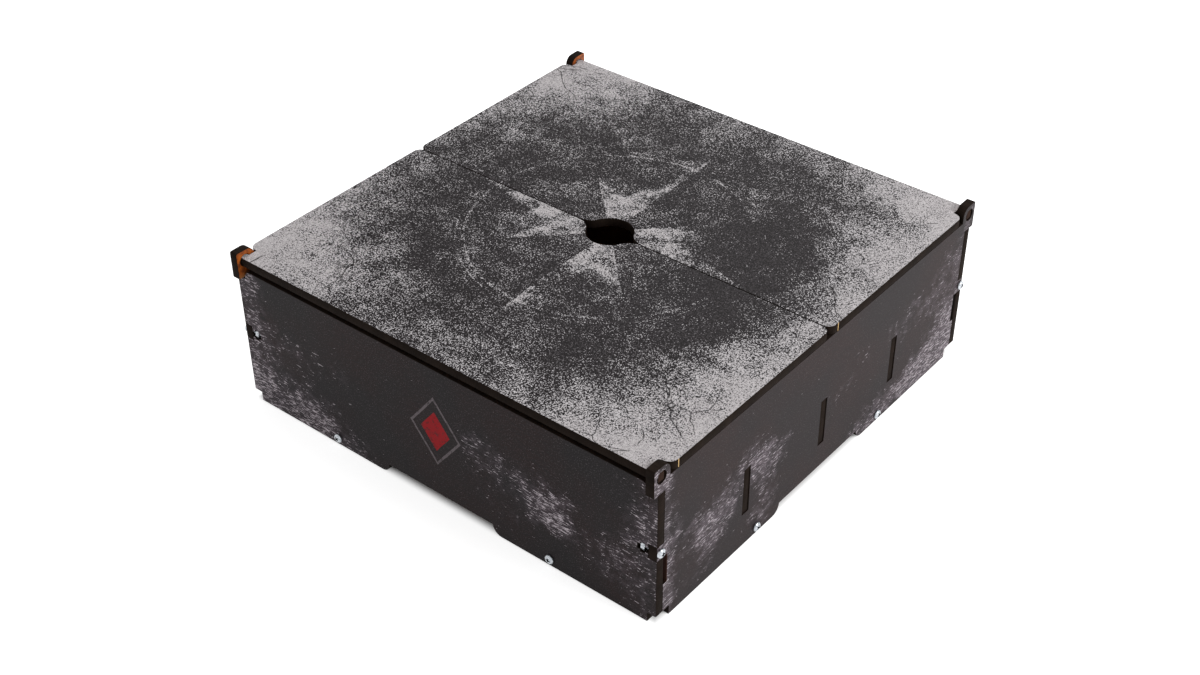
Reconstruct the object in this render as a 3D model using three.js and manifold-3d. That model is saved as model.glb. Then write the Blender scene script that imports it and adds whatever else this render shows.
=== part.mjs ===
// A low square case of laser-cut board for storing cards in four rows.
//
// Four printed walls stand round a bottom plate. The side walls reach through the front and
// back walls with a finger at mid-height, and a small screw goes through each finger into a
// nut that sits in a T-shaped slot of the front or back wall. Eight more screws hold the
// bottom plate the same way. Three dividers hang in slots of the side walls. The lid is two
// leaves that meet over the middle and share a finger hole. Each leaf turns on two square
// tabs of its own, which sit in round holes of ears on the side walls.
//
// Millimetres. X runs left to right along the front, Y from front to back, Z up.
// The origin is on the table, under the middle of the case.

import * as THREE from 'three';
import { mergeVertices } from 'three/addons/utils/BufferGeometryUtils.js';
import Module from 'manifold-3d';

const wasm = await Module();
wasm.setup();

// Overall sizes
const WIDTH = 300; // left to right, over the walls
const DEPTH = 300; // front to back, over the walls
const HEIGHT = 102; // table to the top of the closed lid
const BOARD = 5.3; // every board is cut from one sheet

// Slack that the laser leaves and the case needs
const JOINT_GAP = 0.2; // between boards that are screwed or slotted together
const LID_GAP = 0.2; // under the closed leaves
const SEAM_GAP = 0.5; // between the two leaves
const PIVOT_PLAY = 0.2; // round the corners of a pivot tab in its hole
const EAR_PLAY = 0.8; // from the inner face of an ear to the leaf or wall beside it
const NOTCH_PLAY = 0.8; // from the inner side of an ear to the leaf behind it
const STACK_PLAY = 1.4; // from the inner side of an ear to the foot of a case stacked on it
const SCREW_PLAY = 0.2; // round a screw in its hole, slot and nut
const NUT_PLAY = 0.2; // round a nut in its slot
const SLOT_SPARE = 0.6; // empty slot past the tip of a screw

// How far every cut runs past what it cuts
const CUT_OVERRUN = 1;

// Feet
const FOOT_HEIGHT = 6.1;
const FOOT_GAP = 90; // between the two feet of one wall, along the table

// Corner joints
const FINGER_MID = 49.6; // table to the middle of a finger
const FINGER_HEIGHT = 9.2;
const RELIEF_HEIGHT = 19.5; // shallow cut in the side wall's end, under the finger
const RELIEF_DEPTH = 3;

// Front and back walls
const SILL_DROP = 2.9; // from the underside of the lid down to the wall's top edge
const SILL_RADIUS = 4.5; // round end of that edge, beside an ear

// Bottom plate
const PLATE_LIFT = 2.3; // table to the plate's underside
const FRONT_SCREW_SPACING = 159; // between the two screws of the front or back wall
const SIDE_SCREW_SPACING = 122.6; // between the two screws of a side wall

// Dividers
const DIVIDER_COUNT = 3;
const DIVIDER_PITCH = 72.6;
const DIVIDER_HEIGHT = 61.5;
const DIVIDER_TAB_HEIGHT = 30.9;
const DIVIDER_TAB_SET_BACK = 0.5; // from the wall's outer face to the end of a tab

// Lid leaves
const PIVOT_TAB_WIDTH = 4.8;
const PIVOT_TAB_SET_BACK = 0.5; // from the ear's outer face to the end of a tab
const NOTCH_RADIUS = 5.4; // outer corner of a leaf behind an ear
const LEAF_RADIUS = 4.8; // outer corner of a leaf at the seam
const FINGER_HOLE = 28; // diameter
const FINGER_HOLE_FLARE = 11; // radius where the hole runs out into the seam

// Ears, measured from the rim of the pivot hole
const EAR_TOP_RIM = 2.8;
const EAR_OUTER_RIM = 2.2;
const EAR_INNER_RIM = 3.1;
const EAR_DROP = 7.7; // from the underside of the lid down to the ear's lower edge
const EAR_INNER_RADIUS = 5.4;
const EAR_OUTER_RADIUS = 1.1;

// Screws and nuts
const SCREW_DIAMETER = 3;
const SCREW_LENGTH = 12; // under the head
const SCREW_TIP_CHAMFER = 0.4;
const HEAD_DIAMETER = 5.6;
const HEAD_HEIGHT = 2;
const HEAD_RIM_HEIGHT = 0.7; // straight edge below the dome
const RECESS_LENGTH = 2.9; // cross recess, tip to tip
const RECESS_WIDTH = 0.7;
const RECESS_DEPTH = 1.1;
const NUT_ACROSS_FLATS = 5.5;
const NUT_HEIGHT = 2.4;
const NUT_SET_BACK = 2.4; // from the slotted edge to the nut

// Counts for round stretches
const QUARTER_STEPS = 6;
const HOLE_STEPS = 24;
const SCREW_HOLE_STEPS = 12;
const LATHE_STEPS = 16;
const DOME_STEPS = 3;
const HEX_SIDES = 6;

// Places worked out from the sizes
const QUARTER_TURN = Math.PI / 2;
const HALF_TURN = Math.PI;
const rightX = WIDTH / 2;
const backY = DEPTH / 2;
const innerX = rightX - BOARD; // inner face of a side wall
const innerY = backY - BOARD; // inner face of the front or back wall
const lidUnderZ = HEIGHT - BOARD;
const sideTopZ = lidUnderZ - LID_GAP;
const sillZ = lidUnderZ - SILL_DROP;
const plateMidZ = PLATE_LIFT + BOARD / 2;
const dividerFootZ = PLATE_LIFT + BOARD + JOINT_GAP;
const dividerMidZ = dividerFootZ + DIVIDER_HEIGHT / 2;
const fingerLowZ = FINGER_MID - FINGER_HEIGHT / 2;
const fingerHighZ = FINGER_MID + FINGER_HEIGHT / 2;
const screwRadius = SCREW_DIAMETER / 2;
const screwHoleRadius = screwRadius + SCREW_PLAY;

// The hinge axis runs half a board in from the leaf's outer edge, at mid-thickness
const pivotY = backY - BOARD / 2;
const pivotZ = HEIGHT - BOARD / 2;
const pivotHoleRadius = Math.hypot(PIVOT_TAB_WIDTH / 2, BOARD / 2) + PIVOT_PLAY;
const earTopZ = pivotZ + pivotHoleRadius + EAR_TOP_RIM;
const earLowZ = lidUnderZ - EAR_DROP;
const earOuterY = pivotY + pivotHoleRadius + EAR_OUTER_RIM;
const earInnerY = pivotY - pivotHoleRadius - EAR_INNER_RIM;
const notchY = earInnerY - NOTCH_PLAY;
const sideFootEndY = earInnerY - STACK_PLAY;

// Points on an arc of one circle, both ends included
function arc(x, y, radius, from, to, steps) {
  const points = [];
  for (let i = 0; i <= steps; i += 1) {
    const angle = from + ((to - from) * i) / steps;
    points.push([x + radius * Math.cos(angle), y + radius * Math.sin(angle)]);
  }
  return points;
}

function circle(x, y, radius, steps) {
  return arc(x, y, radius, 0, 2 * HALF_TURN, steps).slice(0, steps);
}

// Closes a half outline, given from its first point on the axis to its last, by mirroring it
function mirrored(half) {
  const other = half.map(([x, y]) => [-x, y]).reverse();
  return half.concat(other);
}

// Drops points that repeat the one before, also where the outline closes
function cleaned(outline) {
  return outline.filter(([x, y], i) => {
    const [px, py] = outline[(i + outline.length - 1) % outline.length];
    return Math.hypot(x - px, y - py) > Number.EPSILON * WIDTH;
  });
}

function toVectors(outline) {
  return cleaned(outline).map(([x, y]) => new THREE.Vector2(x, y));
}

function extruded(outline, depth) {
  const shape = new THREE.Shape(toVectors(outline));
  return new THREE.ExtrudeGeometry(shape, { depth, bevelEnabled: false });
}

// A closed solid for cutting, from any geometry
function toManifold(geometry) {
  const bare = geometry.clone();
  bare.deleteAttribute('normal');
  bare.deleteAttribute('uv');
  const merged = mergeVertices(bare);
  return new wasm.Manifold(new wasm.Mesh({
    numProp: 3,
    vertProperties: new Float32Array(merged.attributes.position.array),
    triVerts: new Uint32Array(merged.index.array),
  }));
}

function fromManifold(solid) {
  const mesh = solid.getMesh();
  const geometry = new THREE.BufferGeometry();
  geometry.setAttribute('position', new THREE.BufferAttribute(mesh.vertProperties, 3));
  geometry.setIndex(new THREE.BufferAttribute(mesh.triVerts, 1));
  geometry.computeVertexNormals();
  return geometry;
}

// A board: an outline as thick as the sheet, with holes cut right through it
function boardGeometry(outline, holes = []) {
  let board = toManifold(extruded(outline, BOARD));
  for (const hole of holes) {
    const cutter = extruded(hole, BOARD + 2 * CUT_OVERRUN);
    cutter.translate(0, 0, -CUT_OVERRUN);
    board = board.subtract(toManifold(cutter));
  }
  return fromManifold(board);
}

// Half of the lower edge that all four walls share: the arch between the feet, then a foot
// that stops short of the corner, so that the ears of a case below find room there
function footEdge(footEnd, boardEnd) {
  return [
    ...arc(FOOT_GAP / 2, FOOT_HEIGHT, FOOT_HEIGHT, HALF_TURN, 3 * QUARTER_TURN, QUARTER_STEPS),
    [footEnd, 0],
    [footEnd, FOOT_HEIGHT],
    [boardEnd, FOOT_HEIGHT],
  ];
}

// A T-shaped slot for a screw and its nut, cut from an edge. Points are [along the edge,
// into the board], in the order in which the edge is walked.
function nutSlot(along) {
  const shank = screwHoleRadius;
  const wide = NUT_ACROSS_FLATS / 2 + NUT_PLAY;
  const near = NUT_SET_BACK - NUT_PLAY;
  const far = NUT_SET_BACK + NUT_HEIGHT + NUT_PLAY;
  const deep = SCREW_LENGTH - BOARD - 2 * JOINT_GAP + SLOT_SPARE;
  const side = [
    [shank, 0],
    [shank, near],
    [wide, near],
    [wide, far],
    [shank, far],
    [shank, deep],
  ];
  const before = side.map(([a, b]) => [along - a, b]);
  const after = side.map(([a, b]) => [along + a, b]).reverse();
  return before.concat(after);
}

function frontOrBackWall() {
  const boardEnd = innerX - JOINT_GAP; // where the wall stops at a side wall
  const sillEnd = innerX - EAR_PLAY;
  const slot = nutSlot(FINGER_MID).map(([z, into]) => [boardEnd - into, z]);
  const half = [
    ...footEdge(boardEnd, rightX),
    [rightX, fingerLowZ - JOINT_GAP],
    [boardEnd, fingerLowZ - JOINT_GAP],
    ...slot,
    [boardEnd, fingerHighZ + JOINT_GAP],
    [rightX, fingerHighZ + JOINT_GAP],
    [rightX, earLowZ - JOINT_GAP],
    [sillEnd, earLowZ - JOINT_GAP],
    ...arc(sillEnd - SILL_RADIUS, sillZ - SILL_RADIUS, SILL_RADIUS, 0, QUARTER_TURN, QUARTER_STEPS),
  ];
  const holes = [-1, 1].map((side) =>
    circle((side * FRONT_SCREW_SPACING) / 2, plateMidZ, screwHoleRadius, SCREW_HOLE_STEPS));
  return boardGeometry(mirrored(half), holes);
}

function dividerPlaces() {
  const places = [];
  for (let i = 0; i < DIVIDER_COUNT; i += 1) {
    places.push((i - (DIVIDER_COUNT - 1) / 2) * DIVIDER_PITCH);
  }
  return places;
}

// The hole that a divider's tab goes through
function dividerSlot(y) {
  const halfWidth = BOARD / 2 + JOINT_GAP;
  const halfHeight = DIVIDER_TAB_HEIGHT / 2 + JOINT_GAP;
  return [
    [y - halfWidth, dividerMidZ - halfHeight],
    [y + halfWidth, dividerMidZ - halfHeight],
    [y + halfWidth, dividerMidZ + halfHeight],
    [y - halfWidth, dividerMidZ + halfHeight],
  ];
}

function sideWall() {
  const boardEnd = innerY - JOINT_GAP;
  const reliefEnd = boardEnd - RELIEF_DEPTH;
  const outerRound = EAR_OUTER_RADIUS;
  const innerRound = EAR_INNER_RADIUS;
  const half = [
    ...footEdge(sideFootEndY, boardEnd),
    [boardEnd, fingerLowZ - RELIEF_HEIGHT],
    [reliefEnd, fingerLowZ - RELIEF_HEIGHT],
    [reliefEnd, fingerLowZ],
    [backY, fingerLowZ],
    [backY, fingerHighZ],
    [boardEnd, fingerHighZ],
    [boardEnd, earLowZ],
    [earOuterY, earLowZ],
    ...arc(earOuterY - outerRound, earTopZ - outerRound, outerRound, 0, QUARTER_TURN, QUARTER_STEPS),
    ...arc(earInnerY + innerRound, earTopZ - innerRound, innerRound, QUARTER_TURN, HALF_TURN,
      QUARTER_STEPS),
    [earInnerY, sideTopZ],
  ];
  const holes = dividerPlaces().map(dividerSlot);
  for (const side of [-1, 1]) {
    holes.push(circle(side * pivotY, pivotZ, pivotHoleRadius, HOLE_STEPS));
    holes.push(circle(side * (backY - BOARD / 2), FINGER_MID, screwHoleRadius, SCREW_HOLE_STEPS));
    holes.push(circle((side * SIDE_SCREW_SPACING) / 2, plateMidZ, screwHoleRadius, SCREW_HOLE_STEPS));
  }
  return boardGeometry(mirrored(half), holes);
}

function bottomPlate() {
  const sides = [
    { edge: innerY - JOINT_GAP, end: innerX - JOINT_GAP, spacing: FRONT_SCREW_SPACING },
    { edge: innerX - JOINT_GAP, end: innerY - JOINT_GAP, spacing: SIDE_SCREW_SPACING },
  ];
  const outline = [];
  for (let turn = 0; turn < 4; turn += 1) {
    const { edge, end, spacing } = sides[turn % 2];
    const cos = Math.round(Math.cos(turn * QUARTER_TURN));
    const sin = Math.round(Math.sin(turn * QUARTER_TURN));
    const walked = [[-end, 0], ...nutSlot(-spacing / 2), ...nutSlot(spacing / 2)];
    for (const [along, into] of walked) {
      const out = -edge + into;
      outline.push([along * cos - out * sin, along * sin + out * cos]);
    }
  }
  return boardGeometry(outline);
}

function divider() {
  const bodyEnd = innerX - JOINT_GAP;
  const tabEnd = rightX - DIVIDER_TAB_SET_BACK;
  const tabHalf = DIVIDER_TAB_HEIGHT / 2;
  const half = [
    [bodyEnd, dividerFootZ],
    [bodyEnd, dividerMidZ - tabHalf],
    [tabEnd, dividerMidZ - tabHalf],
    [tabEnd, dividerMidZ + tabHalf],
    [bodyEnd, dividerMidZ + tabHalf],
    [bodyEnd, dividerFootZ + DIVIDER_HEIGHT],
  ];
  return boardGeometry(mirrored(half));
}

// The front leaf. The back one is the same board turned half round.
function lidLeaf() {
  const holeRadius = FINGER_HOLE / 2;
  const seamY = -SEAM_GAP / 2;
  const flareY = seamY - FINGER_HOLE_FLARE;
  const flareX = Math.sqrt((holeRadius + FINGER_HOLE_FLARE) ** 2 - flareY ** 2);
  const meet = Math.atan2(-flareY, flareX); // where the hole's arc passes into the flare's
  const notchX = innerX - EAR_PLAY;
  const tabEnd = rightX - PIVOT_TAB_SET_BACK;
  const tabHalf = PIVOT_TAB_WIDTH / 2;
  const half = [
    ...arc(0, 0, holeRadius, -QUARTER_TURN, -meet, QUARTER_STEPS * 2),
    ...arc(flareX, flareY, FINGER_HOLE_FLARE, HALF_TURN - meet, QUARTER_TURN, QUARTER_STEPS),
    ...arc(rightX - LEAF_RADIUS, seamY - LEAF_RADIUS, LEAF_RADIUS, QUARTER_TURN, 0, QUARTER_STEPS),
    ...arc(rightX - NOTCH_RADIUS, -notchY + NOTCH_RADIUS, NOTCH_RADIUS, 0, -QUARTER_TURN,
      QUARTER_STEPS),
    [notchX, -notchY],
    [notchX, -pivotY + tabHalf],
    [tabEnd, -pivotY + tabHalf],
    [tabEnd, -pivotY - tabHalf],
    [notchX, -pivotY - tabHalf],
    [notchX, -backY],
  ];
  return boardGeometry(mirrored(half));
}

// A pan-head screw along +Y: its head stands out to -Y, and its seat is at Y = 0
function screwGeometry() {
  const headRadius = HEAD_DIAMETER / 2;
  const domeHeight = HEAD_HEIGHT - HEAD_RIM_HEIGHT;
  const profile = [[0, SCREW_LENGTH], [screwRadius - SCREW_TIP_CHAMFER, SCREW_LENGTH]];
  profile.push([screwRadius, SCREW_LENGTH - SCREW_TIP_CHAMFER], [screwRadius, 0], [headRadius, 0]);
  for (let i = 0; i <= DOME_STEPS; i += 1) {
    const angle = (QUARTER_TURN * i) / DOME_STEPS;
    const y = -HEAD_RIM_HEIGHT - domeHeight * Math.sin(angle);
    profile.push([i === DOME_STEPS ? 0 : headRadius * Math.cos(angle), y]);
  }
  const points = profile.reverse().map(([r, y]) => new THREE.Vector2(r, y));
  let screw = toManifold(new THREE.LatheGeometry(points, LATHE_STEPS));
  for (const [x, z] of [[RECESS_LENGTH, RECESS_WIDTH], [RECESS_WIDTH, RECESS_LENGTH]]) {
    const arm = new THREE.BoxGeometry(x, 2 * RECESS_DEPTH, z);
    arm.translate(0, -HEAD_HEIGHT, 0);
    screw = screw.subtract(toManifold(arm));
  }
  return fromManifold(screw);
}

// A hexagon nut along +Y, with two corners towards -X and +X
function nutGeometry() {
  const corner = NUT_ACROSS_FLATS / 2 / Math.cos(HALF_TURN / HEX_SIDES);
  const blank = extruded(circle(0, 0, corner, HEX_SIDES), NUT_HEIGHT);
  const bore = extruded(circle(0, 0, screwHoleRadius, SCREW_HOLE_STEPS), NUT_HEIGHT + 2 * CUT_OVERRUN);
  bore.translate(0, 0, -CUT_OVERRUN);
  const geometry = fromManifold(toManifold(blank).subtract(toManifold(bore)));
  geometry.rotateX(-QUARTER_TURN);
  return geometry;
}

const PRINTED_WALL = { color: 0x3b3638, roughness: 0.62, metalness: 0 };
const PRINTED_LID = { color: 0x6f6a6a, roughness: 0.6, metalness: 0 };
const RAW_BOARD = { color: 0x8a5a2e, roughness: 0.8, metalness: 0 };
const ZINC = { color: 0xd3d6d8, roughness: 0.28, metalness: 1 };

function addMesh(parent, name, geometry, finish) {
  const mesh = new THREE.Mesh(geometry, new THREE.MeshStandardMaterial(finish));
  mesh.name = name;
  parent.add(mesh);
  return mesh;
}

// Stands a board up in the XZ plane, with its thickness from y towards -Y
function addUpright(parent, name, geometry, finish, y) {
  const mesh = addMesh(parent, name, geometry, finish);
  mesh.rotation.x = QUARTER_TURN;
  mesh.position.y = y;
}

// A screw with its nut, its head on a wall's outer face. The turn about Z points it inwards,
// and the roll about its own axis sets two of the nut's corners square to the slotted board.
function addFastener(parent, name, place, turn, roll) {
  const fastener = new THREE.Group();
  fastener.position.set(...place);
  fastener.rotation.z = turn;
  parent.add(fastener);
  const screw = addMesh(fastener, `${name}_screw`, screwGeometry(), ZINC);
  screw.position.y = -JOINT_GAP;
  const nut = addMesh(fastener, `${name}_nut`, nutGeometry(), ZINC);
  nut.position.y = BOARD + JOINT_GAP + NUT_SET_BACK;
  nut.rotation.y = roll;
}

const group = new THREE.Group();

// Walls. In the turned group X runs from front to back and -Y points right.
const turned = new THREE.Group();
turned.rotation.z = QUARTER_TURN;
group.add(turned);
addUpright(group, 'front_wall', frontOrBackWall(), PRINTED_WALL, -innerY);
addUpright(group, 'back_wall', frontOrBackWall(), PRINTED_WALL, backY);
addUpright(turned, 'right_wall', sideWall(), PRINTED_WALL, -innerX);
addUpright(turned, 'left_wall', sideWall(), PRINTED_WALL, rightX);

addMesh(group, 'bottom_plate', bottomPlate(), RAW_BOARD).position.z = PLATE_LIFT;

const dividerNames = ['front_divider', 'middle_divider', 'back_divider'];
dividerPlaces().forEach((y, i) => {
  const name = dividerNames[i] ?? `divider_${i + 1}`;
  addUpright(group, name, divider(), RAW_BOARD, y + BOARD / 2);
});

const frontLid = addMesh(group, 'front_lid', lidLeaf(), PRINTED_LID);
frontLid.position.z = lidUnderZ;
const backLid = addMesh(group, 'back_lid', lidLeaf(), PRINTED_LID);
backLid.position.z = lidUnderZ;
backLid.rotation.z = HALF_TURN;

// One screw and nut through each finger, and two through the foot of each wall
const sideTurn = { left: -QUARTER_TURN, right: QUARTER_TURN };
for (const [side, sign] of [['left', -1], ['right', 1]]) {
  for (const [end, way] of [['front', -1], ['back', 1]]) {
    const place = [sign * rightX, way * (backY - BOARD / 2), FINGER_MID];
    addFastener(group, `corner_${end}_${side}`, place, sideTurn[side], 0);
    const sidePlace = [sign * rightX, (way * SIDE_SCREW_SPACING) / 2, plateMidZ];
    addFastener(group, `${side}_wall_${end}`, sidePlace, sideTurn[side], QUARTER_TURN);
    const wallPlace = [(sign * FRONT_SCREW_SPACING) / 2, way * backY, plateMidZ];
    const wallTurn = way < 0 ? 0 : HALF_TURN;
    addFastener(group, `${end}_wall_${side}`, wallPlace, wallTurn, QUARTER_TURN);
  }
}

export default group;
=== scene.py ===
# %% [markdown]
# # A card storage case of laser-cut board
#
# The case is printed board on the outside, charred where the laser cut it, and raw inside.
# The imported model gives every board, screw and nut at its real size and place. This script
# gives each of them its real surface, and remakes the fasteners with their fine shapes.

import math

import bpy
from mathutils import Matrix, Vector


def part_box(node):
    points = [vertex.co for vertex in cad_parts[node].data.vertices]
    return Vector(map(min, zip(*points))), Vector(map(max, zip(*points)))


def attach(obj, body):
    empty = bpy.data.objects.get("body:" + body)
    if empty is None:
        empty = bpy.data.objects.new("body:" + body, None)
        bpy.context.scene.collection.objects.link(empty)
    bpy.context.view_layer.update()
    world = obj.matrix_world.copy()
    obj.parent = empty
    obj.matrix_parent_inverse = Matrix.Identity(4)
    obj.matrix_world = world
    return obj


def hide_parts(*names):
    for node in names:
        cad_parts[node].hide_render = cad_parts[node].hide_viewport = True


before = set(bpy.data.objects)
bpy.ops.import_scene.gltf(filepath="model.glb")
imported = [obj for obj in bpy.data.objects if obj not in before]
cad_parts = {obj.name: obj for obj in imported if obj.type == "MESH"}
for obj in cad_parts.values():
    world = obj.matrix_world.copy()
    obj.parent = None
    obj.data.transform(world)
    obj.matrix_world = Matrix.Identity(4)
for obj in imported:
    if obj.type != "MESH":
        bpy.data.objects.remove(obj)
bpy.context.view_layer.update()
MM = 0.001  # one millimetre in metres

# %% [markdown]
# The main sizes come from the model, so that every pattern and detail stays in step with
# it. The right wall gives the board's thickness, and the closed leaves give the lid.

# %% Measure the case
wall_low, wall_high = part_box("right_wall")
BOARD = (wall_high.x - wall_low.x) / MM
HALF = wall_high.x / MM  # centre of the case to a wall's outer face
LID_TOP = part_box("front_lid")[1].z / MM
print(f"board {BOARD:.2f}, half width {HALF:.1f}, lid top {LID_TOP:.1f} mm")

# %% [markdown]
# ## Camera
#
# The view was solved from the corners of the case in the photograph: a moderate lens, above
# the front right corner, with a hair of roll. The camera is placed by that angle and its
# distance from a point near the middle of the case, so it needs no tracking.

# %% Camera
LENS = 52.97  # mm, on a 36 mm wide sensor
AZIMUTH = math.radians(39.143)  # from straight ahead towards the right
ELEVATION = math.radians(36.90)
ROLL = math.radians(-0.305)
DISTANCE = 1040.9 * MM
AIM_SHIFT = Vector((-5.86, -19.83, 0)) * MM  # in the picture's plane, from the case's centre

turn = (Matrix.Rotation(AZIMUTH, 4, "Z") @ Matrix.Rotation(math.pi / 2 - ELEVATION, 4, "X")
        @ Matrix.Rotation(ROLL, 4, "Z"))
aim = Vector((0, 0, LID_TOP * MM / 2)) + turn.to_3x3() @ AIM_SHIFT
camera_data = bpy.data.cameras.new("view")
camera_data.lens = LENS
camera = bpy.data.objects.new("view", camera_data)
bpy.context.scene.collection.objects.link(camera)
camera.matrix_world = Matrix.Translation(aim + turn.to_3x3() @ Vector((0, 0, DISTANCE))) @ turn
bpy.context.scene.camera = camera
bpy.context.scene.view_settings.view_transform = "Standard"
print("camera at", [round(c, 3) for c in camera.matrix_world.translation])

# %% [markdown]
# ## Colours and nodes
#
# Colours are given as they look on screen, in hex. A shader works in linear light, so one
# function turns one into the other. Another function adds a node of any kind: its inputs
# are values or the outputs of other nodes, and its settings are plain names and values. A
# Mix node of colours takes its share at input 0 and its colours at 6 and 7, and gives the
# result at output 2.

# %% Colour and node helpers
def linear(code):
    channels = [int(code[i:i + 2], 16) / 255 for i in (1, 3, 5)]
    return [c / 12.92 if c <= 0.04045 else ((c + 0.055) / 1.055) ** 2.4 for c in channels] + [1.0]


def add(tree, kind, inputs=(), output=0, **settings):
    node = tree.nodes.new("ShaderNode" + kind)
    for name, value in settings.items():
        setattr(node, name, value)
    for key, value in (inputs.items() if isinstance(inputs, dict) else enumerate(inputs)):
        if isinstance(value, bpy.types.NodeSocket):
            tree.links.new(value, node.inputs[key])
        else:
            node.inputs[key].default_value = value
    return node.outputs[output]


def new_material(name):
    material = bpy.data.materials.new(name)
    material.use_nodes = True
    return material, material.node_tree, material.node_tree.nodes["Principled BSDF"]


print("mid grey is", [round(c, 3) for c in linear("#808080")])

# %% [markdown]
# Patterns are measured in millimetres. Object coordinates come in metres, so they are
# scaled up by a thousand. Most of the surfaces here are built from soft patches of some
# size, which are a noise stretched until it runs from 0 to 1.

# %% Places and patches
def in_mm(tree):
    place = add(tree, "TexCoord", output="Object")
    return add(tree, "VectorMath", {0: place, "Scale": 1 / MM}, operation="SCALE")


def split(tree, place):
    return [add(tree, "SeparateXYZ", (place,), output=axis) for axis in "XYZ"]


def patches(tree, place, size, low=0.35, high=0.65, detail=4.0, roughness=0.55):
    """Soft patches about size millimetres across, from 0 to 1."""
    inputs = {"Vector": place, "Scale": 1 / size, "Detail": detail, "Roughness": roughness}
    noise = add(tree, "TexNoise", inputs)
    return add(tree, "MapRange", (noise, low, high, 0.0, 1.0), interpolation_type="SMOOTHSTEP")


def warped(tree, place, size, reach):
    """Pushes places about by up to reach millimetres, in swirls of some size."""
    inputs = {"Vector": place, "Scale": 1 / size, "Detail": 2.0}
    swirl = add(tree, "TexNoise", inputs, output="Color")
    swirl = add(tree, "VectorMath", (swirl, (0.5, 0.5, 0.5)), operation="SUBTRACT")
    swirl = add(tree, "VectorMath", {0: swirl, "Scale": 2 * reach}, operation="SCALE")
    return add(tree, "VectorMath", (place, swirl), operation="ADD")


print("patterns are in millimetres")

# %% [markdown]
# ## Floor and light
#
# The photograph has a white ground with only a faint shadow, and a dark line where the light
# doesn't get under the walls. The floor is a white diffuse surface that takes the shadow,
# with a glow for camera rays, so that its lit part reaches white without any more light on
# the case. The glow fades out under the case, which keeps that dark line.

# %% Floor
FLOOR_SIZE = 8.0  # m
FLOOR_GLOW = 0.7
GLOW_FADE = (5.5, 2.0)  # mm, how far it fades in under a wall, and how far out
FLOOR_DROP = 0.02  # mm, so that the feet and the floor don't share a plane

def seen_directly(tree):
    """1 for rays from the camera, or by way of a reflection or glass, and 0 for the rest."""
    rays = tree.nodes.new("ShaderNodeLightPath").outputs
    seen = add(tree, "Math", (rays["Is Camera Ray"], rays["Is Glossy Ray"]), operation="MAXIMUM")
    return add(tree, "Math", (seen, rays["Is Transmission Ray"]), operation="MAXIMUM")


def white_floor():
    material, tree, shader = new_material("white floor")
    shader.inputs["Base Color"].default_value = linear("#f2f2f2")
    shader.inputs["Roughness"].default_value = 1.0
    shader.inputs["Specular IOR Level"].default_value = 0.0
    shader.inputs["Emission Color"].default_value = (1, 1, 1, 1)
    x, y = split(tree, in_mm(tree))[:2]
    across = add(tree, "Math", (x,), operation="ABSOLUTE")
    along = add(tree, "Math", (y,), operation="ABSOLUTE")
    out = add(tree, "Math", (across, along), operation="MAXIMUM")
    inputs = (out, HALF - GLOW_FADE[0], HALF + GLOW_FADE[1], 0.0, FLOOR_GLOW)
    glow = add(tree, "MapRange", inputs, interpolation_type="SMOOTHSTEP")
    glow = add(tree, "Math", (seen_directly(tree), glow), operation="MULTIPLY")
    tree.links.new(glow, shader.inputs["Emission Strength"])
    return material


bpy.ops.object.select_all(action="DESELECT")
bpy.ops.mesh.primitive_plane_add(size=FLOOR_SIZE, location=(0, 0, -FLOOR_DROP * MM))
floor = bpy.context.object
floor.name = "floor"
floor.data.materials.append(white_floor())
print("floor", FLOOR_SIZE, "m")

# %% [markdown]
# Soft lamps stand to the right and behind, which is why the right wall is lighter than the
# front one. The white room fills the rest. What the camera sees of the room is pure white.

# %% World and lamps
WORLD_LEVEL = 0.5
LAMPS = [  # name, place and width in metres, watts
    ("right_lamp", (1.9, 0.5, 1.3), 1.2, 34),
    ("back_lamp", (-0.6, 1.6, 1.8), 1.4, 22),
]

def light_world():
    world = bpy.data.worlds.new("white room")
    bpy.context.scene.world = world
    world.use_nodes = True
    background = world.node_tree.nodes["Background"]
    background.inputs["Color"].default_value = (1, 1, 1, 1)
    seen = seen_directly(world.node_tree)
    level = add(world.node_tree, "MapRange", (seen, 0.0, 1.0, WORLD_LEVEL, 1.0))
    world.node_tree.links.new(level, background.inputs["Strength"])


def soft_lamp(name, place, size, watts):
    data = bpy.data.lights.new(name, "AREA")
    data.shape = "DISK"
    data.size = size
    data.energy = watts
    lamp = bpy.data.objects.new(name, data)
    bpy.context.scene.collection.objects.link(lamp)
    lamp.location = place
    lamp.rotation_euler = (-Vector(place)).to_track_quat("-Z", "Y").to_euler()


light_world()
for lamp in LAMPS:
    soft_lamp(*lamp)

# %% [markdown]
# ## Charred edges
#
# The boards are dense fibreboard, printed on the outer face and then cut by laser. The cut
# edge is burnt to a dark brown soot, which is matt and nearly black, with fine striations
# through the thickness, where the beam moved on. It reflects next to nothing. Where the
# beam was slower, it stays a redder brown: in the relief under each finger, and at the ends
# of the tabs that the lid turns on.

# %% Charred edge
STRIATION = 0.5  # mm apart; the real ones are about 0.2 mm, too fine to show
STRIATION_SQUEEZE = 0.07  # through the thickness, so that a striation runs right through
STRIATION_SHARE = 0.22
STRIATION_TINT = "#352a23"
SOOT_TINTS = ("#15100d", "#201915")
EDGE_DEPTH = 0.04  # mm, of the striations
RELIEF = [("Y", 141.0, 142.0), ("Z", 25.0, 44.5)]  # mm, the brown part of each relief
RELIEF_BROWN = "#46302a"
TAB_END = [("X", 149.2, 149.7), ("Y", 145.1, 149.6)]  # mm, the end faces of the tabs
TAB_BROWN = "#30221c"

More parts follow.
